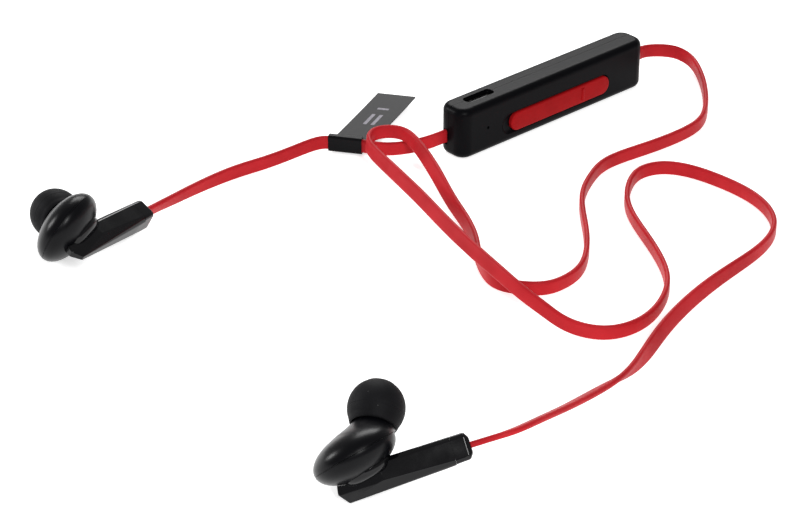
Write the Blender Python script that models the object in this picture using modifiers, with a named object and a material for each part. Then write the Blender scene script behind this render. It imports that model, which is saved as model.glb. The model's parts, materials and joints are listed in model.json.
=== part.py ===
"""In-ear earphones joined by flat cords to an inline control box.

The origin is the middle of the control box's underside, +X runs along the box, its key
faces -Y and +Z is up.  Blender units are metres; sizes below are in millimetres times MM.
"""
import math

import bmesh
import bpy
import numpy as np
from mathutils import Matrix, Vector

MM = 0.001

# Driving dimensions -------------------------------------------------------------------
GAP = 0.3 * MM                      # clearance between neighbouring pieces

BOX_LENGTH = 58.0 * MM
BOX_DEPTH = 8.0 * MM
BOX_HEIGHT = 12.0 * MM
BOX_ROUNDING = 1.5 * MM
BOX_WALL = 1.0 * MM
BOX_SEAM_Y = 0.5 * MM               # where the front and rear shells meet
BOX_MID_HEIGHT = BOX_HEIGHT / 2

KEY_LENGTH = 33.4 * MM
KEY_HEIGHT = 5.1 * MM
KEY_THICKNESS = 1.05 * MM
KEY_CENTRE_X = 1.35 * MM
KEY_CENTRE_Z = 4.7 * MM
KEY_BACK_Y = -3.3 * MM
RECESS_DIMPLE = 1.9 * MM            # how far the recess runs past the key's left end

SLOT_CENTRE_X = -20.2 * MM          # charging socket
SLOT_CENTRE_Y = 0.3 * MM
SOCKET_LENGTH = 7.6 * MM
SOCKET_DEPTH = 2.0 * MM
SOCKET_HEIGHT = 5.6 * MM

BOARD_FRONT_Y = -0.1 * MM
BOARD_THICKNESS = 0.6 * MM
MICROPHONE_X = -21.1 * MM

CORD_WIDTH = 3.2 * MM
CORD_THICKNESS = 1.15 * MM
CORD_EXIT_Y = 1.6 * MM
LEFT_EXIT_Z = 4.4 * MM
RIGHT_EXIT_Z = 4.4 * MM

BULB_RADIUS = 8.1 * MM              # driver housing, an oblate bulb
BULB_HALF_HEIGHT = 4.37 * MM
BULB_WALL = 0.9 * MM
BULB_LEAN = math.radians(12.7)      # bulb axis leans away from the cord end
NOZZLE_RADIUS = 2.3 * MM
NOZZLE_BORE = 1.7 * MM
TIP_RADIUS = 5.3 * MM
TIP_CENTRE = Vector((6.1, 5.2, 6.8)) * MM
NOZZLE_AXIS = Vector((0.41, 0.43, 0.80)).normalized()
STEM_HALF_WIDTH = 2.4 * MM
STEM_END_X = 20.2 * MM
STEM_SEAM_X = 16.8 * MM
STEM_EXIT_Z = -4.4 * MM

# Where each earpiece lies: bulb centre, then roll, pitch and heading of its stem.
EARPIECES = {
    "left": dict(centre=Vector((-118.4, 18.7, 7.5)) * MM, turn=(-62.3, 6.6, 13.6)),
    "right": dict(centre=Vector((-128.3, -82.5, 7.15)) * MM, turn=(-35.5, -14.2, -31.9)),
}

# Cord routes: x, y, z in millimetres, then how far the flat cord leans from standing on
# edge, in degrees.
LEFT_ROUTE = [
    (-101.3, 18.8, 3.5, 28), (-98.2, 19.5, 3.1, 28), (-95.1, 20.3, 2.8, 28), (-88.5, 21.8, 2.2, 20),
    (-80.6, 23.1, 1.8, 10), (-70.7, 23.5, 1.6, 0), (-62.8, 22.6, 1.6, 0), (-55.4, 22.0, 1.8, 0),
    (-50.4, 21.4, 2.1, 0), (-48.0, 20.3, 2.25, 0), (-46.3, 18.4, 2.25, 0), (-45.0, 16.6, 2.25, 0),
    (-43.6, 14.6, 2.25, 0), (-42.0, 12.3, 2.1, 0), (-39.7, 9.3, 2.0, 0), (-36.7, 6.2, 2.5, 0),
    (-33.8, 3.6, 3.4, 0), (-31.8, 2.2, 4.1, 0), (-30.0, 1.7, 4.4, 0), (-28.0, 1.6, 4.4, 0),
]
RIGHT_ROUTE = [
    (28.0, 1.6, 4.4, 0), (30.6, 1.6, 4.4, 0), (35.0, 2.7, 4.3, 0), (39.4, 1.0, 4.0, 0),
    (42.5, -1.5, 3.3, 0), (43.1, -5.4, 2.5, 0), (39.9, -11.5, 1.9, 0), (34.6, -17.9, 1.6, 0),
    (25.7, -25.8, 1.6, 0), (18.5, -28.7, 1.6, 0), (5.1, -28.5, 1.6, 0), (-7.4, -27.5, 1.6, 0),
    (-15.1, -30.1, 1.6, 0), (-23.3, -35.5, 1.6, 0), (-32.6, -45.8, 1.6, 0), (-40.1, -53.2, 1.6, 0),
    (-47.7, -56.9, 1.6, 0), (-54.5, -56.3, 1.6, 0), (-58.3, -52.7, 1.6, 0), (-58.7, -46.9, 1.6, 0),
    (-56.1, -40.8, 1.6, 0), (-52.9, -34.7, 1.6, 0), (-48.6, -25.7, 1.7, 0), (-45.8, -18.9, 2.4, 0),
    (-42.9, -11.8, 3.8, 0), (-39.8, -4.2, 5.0, 0), (-37.7, 1.7, 5.7, 0), (-36.9, 6.5, 6.0, 0),
    (-38.0, 10.3, 5.9, 0), (-41.6, 11.0, 5.7, 0), (-44.9, 8.3, 5.5, 0), (-46.5, 4.2, 5.1, 0),
    (-48.1, -1.1, 4.6, 0), (-49.1, -6.5, 3.8, 0), (-49.7, -12.7, 2.6, 0), (-50.9, -20.1, 1.7, 0),
    (-53.9, -29.3, 1.6, 0), (-57.9, -38.8, 1.6, 0), (-61.1, -47.0, 1.6, 0), (-62.2, -54.0, 1.6, 0),
    (-62.5, -61.0, 1.6, 0), (-62.2, -70.0, 1.6, 0), (-58.8, -76.9, 1.6, 0), (-50.8, -79.1, 1.6, 0),
    (-40.8, -75.7, 1.6, 0), (-33.0, -68.9, 1.6, 0), (-25.4, -56.3, 1.6, 0), (-18.2, -44.1, 1.6, 0),
    (-9.9, -37.1, 1.6, 0), (-4.7, -35.5, 1.6, 0), (0.0, -37.1, 1.6, 0), (3.2, -42.0, 1.6, 0),
    (4.7, -50.2, 1.6, 0), (4.1, -60.5, 1.6, 0), (-0.8, -69.7, 1.6, 0), (-9.7, -74.8, 1.6, 0),
    (-22.2, -77.0, 1.6, 10), (-35.2, -79.4, 1.7, 25), (-48.5, -83.5, 1.8, 30), (-57.6, -87.3, 1.8, 24),
    (-64.8, -90.1, 2.2, -10), (-70.9, -91.7, 2.9, -45), (-76.9, -93.0, 3.8, -60), (-88.4, -95.9, 6.4, -60),
    (-98.5, -98.5, 9.2, -58), (-105.9, -99.3, 10.4, -55), (-109.6, -97.2, 9.4, -55), (-112.3, -95.5, 8.6, -55), (-114.9, -93.8, 7.8, -55),
]
LEFT_CORD_RINGS = 36
RIGHT_CORD_RINGS = 80

LABEL_CENTRE = Vector((-45.0, 16.6, 2.25)) * MM
LABEL_HEADING = math.radians(-55.0)
LABEL_LENGTH = 7.6 * MM
LABEL_FLAG = 28.0 * MM              # free end, measured from the cord
LABEL_FLAG_WIDTH = 8.9 * MM
LABEL_SKEW = math.radians(-11.0)    # how far the flag leans along the cord


# Scene and materials ------------------------------------------------------------------
for old in list(bpy.data.objects):
    bpy.data.objects.remove(old, do_unlink=True)

parts = bpy.data.collections.new("earphones")
tools = bpy.data.collections.new("cutters")
bpy.context.scene.collection.children.link(parts)
bpy.context.scene.collection.children.link(tools)


def material(name, colour, roughness, metallic=0.0):
    """A Principled material of one colour."""
    made = bpy.data.materials.new(name)
    made.use_nodes = True
    shader = made.node_tree.nodes["Principled BSDF"]
    shader.inputs["Base Color"].default_value = (*colour, 1.0)
    shader.inputs["Roughness"].default_value = roughness
    shader.inputs["Metallic"].default_value = metallic
    return made


SATIN_BLACK = material("satin_black_abs", (0.012, 0.012, 0.014), 0.4)
GLOSS_BLACK = material("gloss_black_abs", (0.008, 0.008, 0.009), 0.08)
SILICONE = material("black_silicone", (0.03, 0.03, 0.034), 0.65)
RED_KEY = material("red_key_plastic", (0.27, 0.01, 0.01), 0.45)
RED_CORD = material("red_cord_tpe", (0.45, 0.02, 0.025), 0.45)
KEY_RUBBER = material("grey_key_rubber", (0.03, 0.03, 0.03), 0.8)
LABEL_FILM = material("black_label_film", (0.015, 0.015, 0.016), 0.2)
STEEL = material("nickel_steel", (0.6, 0.6, 0.6), 0.3, 1.0)
BOARD_GREEN = material("green_solder_mask", (0.01, 0.12, 0.04), 0.4)
BATTERY_FOIL = material("battery_foil", (0.55, 0.56, 0.58), 0.35, 1.0)
DARK_PLASTIC = material("dark_inner_plastic", (0.02, 0.02, 0.02), 0.5)
FILM = material("diaphragm_film", (0.4, 0.36, 0.3), 0.3)


# Modelling helpers --------------------------------------------------------------------
def add_object(name, mesh, finish=None, parent=None, cutter=False):
    """Link a mesh as a named object, or as a hidden cutter."""
    made = bpy.data.objects.new(name, mesh)
    (tools if cutter else parts).objects.link(made)
    if finish is not None:
        mesh.materials.append(finish)
    made.parent = parent
    if cutter:
        made.hide_render = True
        made.display_type = "WIRE"
    return made


def block(name, size, centre, finish=None, parent=None, rounding=0.0, axis=None, segments=3,
          cutter=False):
    """A box of this size; rounding bevels every edge, or only the edges along one axis."""
    cage = bmesh.new()
    bmesh.ops.create_cube(cage, size=1.0, matrix=Matrix.Diagonal((*size, 1.0)))
    if rounding:
        edges = [edge for edge in cage.edges if axis is None or abs(
            (edge.verts[0].co - edge.verts[1].co).normalized()[axis]) > 0.9]
        bmesh.ops.bevel(cage, geom=edges, offset=rounding, segments=segments, profile=0.5,
                        affect="EDGES")
    mesh = bpy.data.meshes.new(name)
    cage.to_mesh(mesh)
    cage.free()
    made = add_object(name, mesh, finish, parent, cutter)
    made.location = centre
    return made


def stadium(name, length, height, depth, centre, finish=None, parent=None, cutter=False):
    """A flat pill: rounded ends in the XZ plane, its thickness along Y."""
    return block(name, (length, depth, height), centre, finish, parent,
                 rounding=height / 2 - 0.01 * MM, axis=1, segments=8, cutter=cutter)


def rod(name, radius, length, centre, direction, finish=None, parent=None, cutter=False,
        end_radius=None, sides=24):
    """A cylinder or cone frustum centred on a point, its length along a direction."""
    cage = bmesh.new()
    tip_radius = radius if end_radius is None else end_radius
    bmesh.ops.create_cone(cage, cap_ends=True, segments=sides, radius1=radius,
                          radius2=tip_radius, depth=length)
    mesh = bpy.data.meshes.new(name)
    cage.to_mesh(mesh)
    cage.free()
    made = add_object(name, mesh, finish, parent, cutter)
    made.rotation_euler = Vector(direction).to_track_quat("Z", "Y").to_euler()
    made.location = centre
    return made


def turned(name, profile, finish=None, parent=None, cutter=False, sides=28, closed=False):
    """A profile of (radius, height) turned about Z; it runs down its outer side."""
    mesh = bpy.data.meshes.new(name)
    points = [(radius, 0.0, height) for radius, height in profile]
    edges = [(i, i + 1) for i in range(len(points) - 1)]
    if closed:
        edges.append((len(points) - 1, 0))
    mesh.from_pydata(points, edges, [])
    made = add_object(name, mesh, finish, parent, cutter)
    screw = made.modifiers.new("turn", "SCREW")
    screw.steps = sides
    screw.render_steps = sides
    screw.use_merge_vertices = True
    screw.merge_threshold = 0.00001
    return made


def hull(name, corners, finish=None, parent=None, cutter=False):
    """A faceted solid through its corner points."""
    cage = bmesh.new()
    for corner in corners:
        cage.verts.new(Vector(corner) * MM)
    bmesh.ops.convex_hull(cage, input=cage.verts)
    bmesh.ops.dissolve_limit(cage, angle_limit=math.radians(0.5), verts=cage.verts,
                             edges=cage.edges)
    bmesh.ops.recalc_face_normals(cage, faces=cage.faces)
    mesh = bpy.data.meshes.new(name)
    cage.to_mesh(mesh)
    cage.free()
    return add_object(name, mesh, finish, parent, cutter)


def boolean(target, tool, operation="DIFFERENCE"):
    """Cut or join one object with a cutter."""
    step = target.modifiers.new(tool.name, "BOOLEAN")
    step.operation = operation
    step.object = tool
    step.solver = "EXACT"


def empty(name, location, rotation=(0.0, 0.0, 0.0), parent=None):
    """A frame that pieces hang from."""
    made = bpy.data.objects.new(name, None)
    parts.objects.link(made)
    made.location = location
    made.rotation_euler = rotation
    made.parent = parent
    return made


def smooth_route(route, count):
    """Points and leans read from a natural cubic spline, closer together in tight bends."""
    knots = np.array(route, dtype=float)
    chord = np.linalg.norm(np.diff(knots[:, :3], axis=0), axis=1) ** 0.5
    at = np.concatenate(([0.0], np.cumsum(chord)))
    n = len(at)
    step = np.diff(at)
    matrix = np.eye(n)
    right = np.zeros((n, 4))
    for i in range(1, n - 1):
        matrix[i, i - 1:i + 2] = (step[i - 1], 2 * (step[i - 1] + step[i]), step[i])
        right[i] = 6 * ((knots[i + 1] - knots[i]) / step[i] - (knots[i] - knots[i - 1]) / step[i - 1])
    bend = np.linalg.solve(matrix, right)
    fine = np.linspace(0.0, at[-1], 4000)
    i = np.clip(np.searchsorted(at, fine, side="right") - 1, 0, n - 2)
    before = (at[i + 1] - fine)[:, None]
    after = (fine - at[i])[:, None]
    width = step[i][:, None]
    curve = ((bend[i] * before ** 3 + bend[i + 1] * after ** 3) / (6 * width)
             + (knots[i] / width - bend[i] * width / 6) * before
             + (knots[i + 1] / width - bend[i + 1] * width / 6) * after)
    move = np.diff(curve[:, :3], axis=0)
    run = np.linalg.norm(move, axis=1)
    heading = move / run[:, None]
    turning = np.linalg.norm(np.diff(heading, axis=0), axis=1) / run[1:]
    effort = run * (1.0 + 9.0 * np.clip(np.concatenate(([0.0], turning)), 0.0, 0.4))
    gone = np.concatenate(([0.0], np.cumsum(effort)))
    picks = np.interp(np.linspace(0.0, gone[-1], count), gone, np.arange(len(curve)))
    return [curve[int(round(k))] for k in picks]


def flat_cord(name, route, count, finish):
    """A flat cord standing on edge along its route, leaning where the route says."""
    data = bpy.data.curves.new(name, "CURVE")
    data.dimensions = "3D"
    data.fill_mode = "FULL"
    data.use_fill_caps = True
    data.twist_mode = "Z_UP"
    data.extrude = (CORD_WIDTH - CORD_THICKNESS) / 2
    data.bevel_depth = CORD_THICKNESS / 2
    data.bevel_resolution = 2
    spline = data.splines.new("POLY")
    rings = smooth_route(route, count)
    spline.points.add(len(rings) - 1)
    for point, (x, y, z, lean) in zip(spline.points, rings):
        point.co = (x * MM, y * MM, z * MM, 1.0)
        point.tilt = math.radians(lean)
    data.materials.append(finish)
    made = bpy.data.objects.new(name, data)
    parts.objects.link(made)
    return made


# Control box --------------------------------------------------------------------------
def box_shell(name, front):
    """One half of the control box: a rounded box, hollowed, and cut near mid depth."""
    size = (BOX_LENGTH, BOX_DEPTH, BOX_HEIGHT)
    shell = block(name, size, (0, 0, BOX_MID_HEIGHT), SATIN_BLACK, rounding=BOX_ROUNDING,
                  segments=4)
    inside = [length - 2 * BOX_WALL for length in size]
    boolean(shell, block(name + "_cavity", inside, (0, 0, BOX_MID_HEIGHT), rounding=0.8 * MM,
                         segments=1, cutter=True))
    side = 1 if front else -1
    half = 20 * MM
    boolean(shell, block(name + "_half", (BOX_LENGTH * 1.2, half, BOX_HEIGHT * 2),
                         (0, BOX_SEAM_Y + side * (half - GAP) / 2, BOX_MID_HEIGHT), cutter=True))
    for exit_name, exit_x, exit_z in (("left", -BOX_LENGTH / 2, LEFT_EXIT_Z),
                                      ("right", BOX_LENGTH / 2, RIGHT_EXIT_Z)):
        boolean(shell, block(name + "_" + exit_name + "_exit",
                             (4 * MM, CORD_THICKNESS + 2 * GAP, CORD_WIDTH + 2 * GAP),
                             (exit_x, CORD_EXIT_Y, exit_z), cutter=True))
    boolean(shell, block(name + "_socket_slot",
                         (SOCKET_LENGTH + 2 * GAP, SOCKET_DEPTH + 2 * GAP, 4 * MM),
                         (SLOT_CENTRE_X, SLOT_CENTRE_Y, BOX_HEIGHT), cutter=True))
    return shell


def make_control_box():
    """Both shells, the socket, and the electronics held inside."""
    front = box_shell("control_front_shell", True)
    recess_length = KEY_LENGTH + 2 * GAP + RECESS_DIMPLE
    recess_x = KEY_CENTRE_X - RECESS_DIMPLE / 2
    front_y = -BOX_DEPTH / 2
    opening = KEY_HEIGHT + 2 * GAP
    boolean(front, stadium("key_recess", recess_length + 0.4 * MM, opening + 0.4 * MM, 1.0 * MM,
                           (recess_x, front_y, KEY_CENTRE_Z), cutter=True))
    boolean(front, stadium("key_window", KEY_LENGTH + 2 * GAP, opening, 4.0 * MM,
                           (KEY_CENTRE_X, front_y, KEY_CENTRE_Z), cutter=True))
    boolean(front, rod("microphone_hole", 0.5 * MM, 4 * MM, (MICROPHONE_X, front_y, BOX_MID_HEIGHT),
                       (0, 1, 0), cutter=True, sides=12))

    box_shell("control_rear_shell", False)

    socket_z = BOX_HEIGHT - 0.2 * MM - SOCKET_HEIGHT / 2
    socket = block("usb_socket", (SOCKET_LENGTH, SOCKET_DEPTH, SOCKET_HEIGHT),
                   (SLOT_CENTRE_X, SLOT_CENTRE_Y, socket_z), STEEL, rounding=0.5 * MM, axis=2)
    boolean(socket, block("socket_mouth", (7.4 * MM, 1.4 * MM, 2 * SOCKET_HEIGHT),
                          (SLOT_CENTRE_X, SLOT_CENTRE_Y, socket_z), rounding=0.3 * MM, axis=2,
                          cutter=True))
    tongue = block("usb_tongue", (6.6 * MM, 0.7 * MM, 1.2 * MM),
                   (SLOT_CENTRE_X, SLOT_CENTRE_Y, socket_z - 1.9 * MM), DARK_PLASTIC)
    boolean(tongue, block("tongue_blade", (5.2 * MM, 0.45 * MM, 4.2 * MM),
                          (SLOT_CENTRE_X, SLOT_CENTRE_Y, socket_z), cutter=True), "UNION")

    board_y = BOARD_FRONT_Y + BOARD_THICKNESS / 2
    block("control_board", (46 * MM, BOARD_THICKNESS, 3.2 * MM), (1.0 * MM, board_y, 3.4 * MM),
          BOARD_GREEN)
    boolean(bpy.data.objects["control_board"],
            block("board_upper", (35 * MM, BOARD_THICKNESS - 0.02 * MM, 6 * MM),
                  (6.0 * MM, board_y, 7.0 * MM), cutter=True), "UNION")
    block("battery", (26 * MM, 1.7 * MM, 7.6 * MM), (8 * MM, 1.8 * MM, 5.6 * MM), BATTERY_FOIL,
          rounding=0.4 * MM, segments=2)
    chip_y = BOARD_FRONT_Y - GAP - 0.4 * MM
    block("radio_chip", (4 * MM, 0.8 * MM, 4 * MM), (-5.0 * MM, chip_y, 5.6 * MM), DARK_PLASTIC)
    block("status_light", (1.6 * MM, 0.7 * MM, 0.8 * MM), (22 * MM, chip_y, 7 * MM), FILM)
    rod("microphone", 1.5 * MM, 1.2 * MM, (MICROPHONE_X, -2.1 * MM, BOX_MID_HEIGHT), (0, 1, 0),
        STEEL, sides=20)
    block("left_cord_anchor", (3 * MM, 2.2 * MM, 4.4 * MM), (-26.2 * MM, CORD_EXIT_Y, LEFT_EXIT_Z),
          DARK_PLASTIC, rounding=0.3 * MM, segments=1)
    block("right_cord_anchor", (3 * MM, 2.2 * MM, 4.4 * MM), (26.2 * MM, CORD_EXIT_Y, RIGHT_EXIT_Z),
          DARK_PLASTIC, rounding=0.3 * MM, segments=1)


def make_key():
    """The rubber sheet that springs the key, the rocking key, and three switches."""
    membrane_frame = empty("key_press", (KEY_CENTRE_X, -2.7 * MM, KEY_CENTRE_Z))
    membrane = block("key_membrane", (35.4 * MM, 0.45 * MM, 6.0 * MM), (0, 0.225 * MM, 0), KEY_RUBBER,
                     membrane_frame)
    boolean(membrane, block("membrane_fulcrum", (0.8 * MM, 0.6 * MM, 3.6 * MM), (0, 0, 0),
                            parent=membrane_frame, cutter=True), "UNION")
    for name, offset in (("volume_down_switch", -11.35 * MM), ("centre_switch", 0.0),
                         ("volume_up_switch", 11.35 * MM)):
        boolean(membrane, rod(name + "_pusher", 0.8 * MM, 0.5 * MM, (offset, 0.4 * MM, 0), (0, 1, 0),
                              parent=membrane_frame, cutter=True, sides=12), "UNION")
        switch = block(name, (3.4 * MM, 0.85 * MM, 3.4 * MM),
                       (KEY_CENTRE_X + offset, BOARD_FRONT_Y - GAP - 0.425 * MM, KEY_CENTRE_Z),
                       STEEL)
        boolean(switch, rod(name + "_plunger", 0.9 * MM, 0.8 * MM,
                            (KEY_CENTRE_X + offset, -1.2 * MM, KEY_CENTRE_Z), (0, 1, 0),
                            cutter=True, sides=16), "UNION")

    rocker_frame = empty("key_rock", (KEY_CENTRE_X, KEY_BACK_Y, KEY_CENTRE_Z))
    key = stadium("rocker_button", KEY_LENGTH, KEY_HEIGHT, KEY_THICKNESS,
                  (0, -KEY_THICKNESS / 2, 0), RED_KEY, rocker_frame)
    ridge_x = (0.72 - 0.5) * KEY_LENGTH
    boolean(key, block("key_ridge", (0.8 * MM, 0.9 * MM, 0.65 * KEY_HEIGHT),
                       (ridge_x, -KEY_THICKNESS + 0.1 * MM, 0), rounding=0.2 * MM, segments=2,
                       parent=rocker_frame, cutter=True), "UNION")


# Earpieces ----------------------------------------------------------------------------
def ellipse_arc(radius, height, start, end, count):
    """Points of a quarter ellipse between two angles from the equator."""
    angles = [start + (end - start) * i / (count - 1) for i in range(count)]
    return [(max(radius * math.cos(a), 0.0), height * math.sin(a)) for a in angles]


def bulb_half(name, upper, finish, bulb):
    """Half of the bulb, solid, with its flat side at the parting plane."""
    edge = math.asin(GAP / 2 / BULB_HALF_HEIGHT)
    if upper:
        arc = ellipse_arc(BULB_RADIUS, BULB_HALF_HEIGHT, math.pi / 2, edge, 9)
        arc[0] = (0.0, BULB_HALF_HEIGHT)
        return turned(name, arc + [(0.0, arc[-1][1])], finish, bulb)
    arc = ellipse_arc(BULB_RADIUS, BULB_HALF_HEIGHT, -edge, -math.pi / 2, 9)
    arc[-1] = (0.0, -BULB_HALF_HEIGHT)
    return turned(name, [(0.0, arc[0][1])] + arc, finish, bulb)


def bulb_solid(name, shrink, bulb):
    """An ellipsoid cutter, smaller than the bulb by shrink all round."""
    arc = ellipse_arc(BULB_RADIUS - shrink, BULB_HALF_HEIGHT - shrink, math.pi / 2, -math.pi / 2, 15)
    arc[0] = (0.0, BULB_HALF_HEIGHT - shrink)
    arc[-1] = (0.0, -(BULB_HALF_HEIGHT - shrink))
    return turned(name, arc, parent=bulb, cutter=True)


def make_earpiece(name, centre, turn):
    """One earpiece; its own X runs along the stem to the cord and Z up through the bulb."""
    ear = empty(name + "_earpiece", centre, [math.radians(angle) for angle in turn])
    bulb = empty(name + "_bulb", (0, 0, 0), (0.0, -BULB_LEAN, 0.0), ear)
    axis = NOZZLE_AXIS
    tip_at = TIP_CENTRE

    def along(distance):
        return tip_at + axis * distance

    # Housing halves with the nozzle.
    front = bulb_half(name + "_front_housing", True, SATIN_BLACK, bulb)
    boolean(front, rod(name + "_shoulder", 5.6 * MM, 4.6 * MM, along(-5.1 * MM), axis, parent=ear,
                       cutter=True, end_radius=2.5 * MM), "UNION")
    boolean(front, rod(name + "_nozzle", NOZZLE_RADIUS, 6.6 * MM, along(-1.2 * MM), axis, parent=ear,
                       cutter=True), "UNION")
    boolean(front, bulb_solid(name + "_front_cavity", BULB_WALL, bulb))
    boolean(front, rod(name + "_nozzle_bore", NOZZLE_BORE, 12 * MM, along(-2.0 * MM), axis, parent=ear,
                       cutter=True, sides=20))
    below = block(name + "_below", (30 * MM, 30 * MM, 12 * MM), (0, 0, -6 * MM + GAP / 2 + 0.03 * MM),
                  parent=bulb, cutter=True)
    boolean(front, below)
    back = bulb_half(name + "_back_housing", False, SATIN_BLACK, bulb)
    boolean(back, bulb_solid(name + "_back_cavity", BULB_WALL, bulb))

    # Driver.
    turned(name + "_driver_frame", [(5.2 * MM, 0.9 * MM), (5.2 * MM, -0.9 * MM),
                                    (3.4 * MM, -0.9 * MM), (3.4 * MM, -0.5 * MM),
                                    (4.4 * MM, -0.5 * MM), (4.4 * MM, 0.9 * MM)],
           DARK_PLASTIC, bulb, closed=True)
    turned(name + "_driver_diaphragm", [(0.0, 0.75 * MM), (1.8 * MM, 0.45 * MM), (3.0 * MM, 0.7 * MM),
                                        (4.05 * MM, 0.45 * MM), (4.05 * MM, 0.15 * MM),
                                        (3.0 * MM, 0.4 * MM), (1.8 * MM, 0.15 * MM),
                                        (0.0, 0.45 * MM)], FILM, bulb)
    rod(name + "_driver_magnet", 3.0 * MM, 1.9 * MM, (0, 0, -1.35 * MM), (0, 0, 1), STEEL, bulb)

    # Silicone tip and mesh screen, turned about the nozzle axis.
    tip_frame = empty(name + "_tip_frame", tip_at, axis.to_track_quat("Z", "Y").to_euler(), ear)
    skirt = [(TIP_RADIUS * math.cos(a) ** 0.9, TIP_RADIUS * math.sin(a)) for a in
             [math.radians(d) for d in (56, 42, 28, 14, 0, -14, -28)]]
    liner = [(4.15 * MM, -3.7 * MM), (3.75 * MM, -3.7 * MM), (4.3 * MM, -1.6 * MM),
             (4.2 * MM, 0.8 * MM), (3.4 * MM, 2.4 * MM), (3.3 * MM, -2.6 * MM),
             (2.6 * MM, -2.6 * MM), (2.6 * MM, 2.7 * MM), (1.9 * MM, 2.9 * MM),
             (1.9 * MM, 4.8 * MM), (2.5 * MM, 4.9 * MM)]
    turned(name + "_ear_tip", skirt + liner, SILICONE, tip_frame, closed=True)
    rod(name + "_nozzle_screen", NOZZLE_BORE - GAP, 0.3 * MM, (0, 0, 1.6 * MM), (0, 0, 1), STEEL,
        tip_frame, sides=20)

    # Stem: a faceted bar with a wedge nose and a keel that fades towards the cord.
    w = STEM_HALF_WIDTH / MM
    end_x = STEM_END_X / MM
    corners = []
    for y in (-1, 1):
        corners += [(end_x, y * w, -2.6), (end_x, y * w, -6.4), (end_x, y * (w - 0.7), -1.9),
                    (end_x, y * (w - 0.5), -6.9), (3.2, y * w, -2.9), (3.8, y * w, -5.9),
                    (4.0, y * (w - 0.7), -2.0), (-4.6, y * 0.9, -4.2), (-4.9, y * 0.7, -6.0),
                    (-3.3, y * 0.5, -8.0), (14.5, y * 1.2, -7.3)]
    stem = hull(name + "_stem", corners, GLOSS_BLACK, ear)
    collar = rod(name + "_collar", 5.6 * MM, 2.6 * MM, (0.6 * MM, 0, -3.7 * MM), (0, 0, 1),
                 parent=bulb, cutter=True, end_radius=5.9 * MM)
    boolean(stem, collar, "UNION")
    boolean(stem, bulb_solid(name + "_bulb_seat", -GAP, bulb))
    boolean(stem, block(name + "_cap_room", (10 * MM, 12 * MM, 12 * MM),
                        (STEM_SEAM_X - GAP / 2 + 5 * MM, 0, -5 * MM), parent=ear, cutter=True))
    boolean(stem, block(name + "_anchor_room", (7 * MM, 3.4 * MM, 2.6 * MM),
                        (STEM_SEAM_X, 0, STEM_EXIT_Z), parent=ear, cutter=True))
    cap_corners = []
    start_x = (STEM_SEAM_X + GAP / 2) / MM
    for y in (-1, 1):
        cap_corners += [(start_x, y * w, -2.62), (start_x, y * w, -6.33), (start_x, y * (w - 0.7), -1.92),
                        (start_x, y * (w - 0.5), -7.0), (19.5, y * w, -2.6), (19.5, y * w, -6.3),
                        (19.5, y * (w - 0.7), -1.9), (19.5, y * (w - 0.5), -6.9),
                        (end_x, y * (w - 0.6), -3.0), (end_x, y * (w - 0.6), -5.9)]
    cap = hull(name + "_stem_end_cap", cap_corners, GLOSS_BLACK, ear)
    boolean(cap, block(name + "_cord_slot", (10 * MM, CORD_WIDTH + 2 * GAP, CORD_THICKNESS + 2 * GAP),
                       (end_x * MM, 0, STEM_EXIT_Z), parent=ear, cutter=True))
    block(name + "_stem_anchor", (2.6 * MM, 2.6 * MM, 1.8 * MM), (15.2 * MM, 0, STEM_EXIT_Z),
          DARK_PLASTIC, ear, rounding=0.2 * MM, segments=1)


# Label --------------------------------------------------------------------------------
def make_label():
    """A printed film wrapped round the left cord, its free end lying back as a flag."""
    frame = empty("label_frame", LABEL_CENTRE, (0, 0, LABEL_HEADING))
    wrap = block("cord_label", (LABEL_LENGTH, 2.5 * MM, CORD_WIDTH + 1.2 * MM), (0, 0, 0), LABEL_FILM,
                 frame, rounding=0.7 * MM, axis=0)
    flag_frame = empty("flag_frame", (0, 0, -1.2 * MM), (0, 0, LABEL_SKEW), frame)
    boolean(wrap, block("label_flag", (LABEL_FLAG_WIDTH, LABEL_FLAG, 0.35 * MM),
                        (0, LABEL_FLAG / 2, 0), parent=flag_frame, cutter=True), "UNION")
    boolean(wrap, block("label_passage", (2 * LABEL_LENGTH, CORD_THICKNESS + 2 * GAP,
                                          CORD_WIDTH + 0.5 * MM),
                        (0, 0, 0), parent=frame, cutter=True))


make_control_box()
make_key()
for ear_name, place in EARPIECES.items():
    make_earpiece(ear_name, **place)
flat_cord("left_cord", LEFT_ROUTE, LEFT_CORD_RINGS, RED_CORD)
flat_cord("right_cord", RIGHT_ROUTE, RIGHT_CORD_RINGS, RED_CORD)
make_label()
for piece in parts.objects:
    if piece.type == "MESH":
        piece.data.shade_smooth()
        piece.data.set_sharp_from_angle(angle=math.radians(30))
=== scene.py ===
import json
import math

import bmesh
import bpy
import numpy as np
from mathutils import Euler, Matrix, Vector


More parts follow.
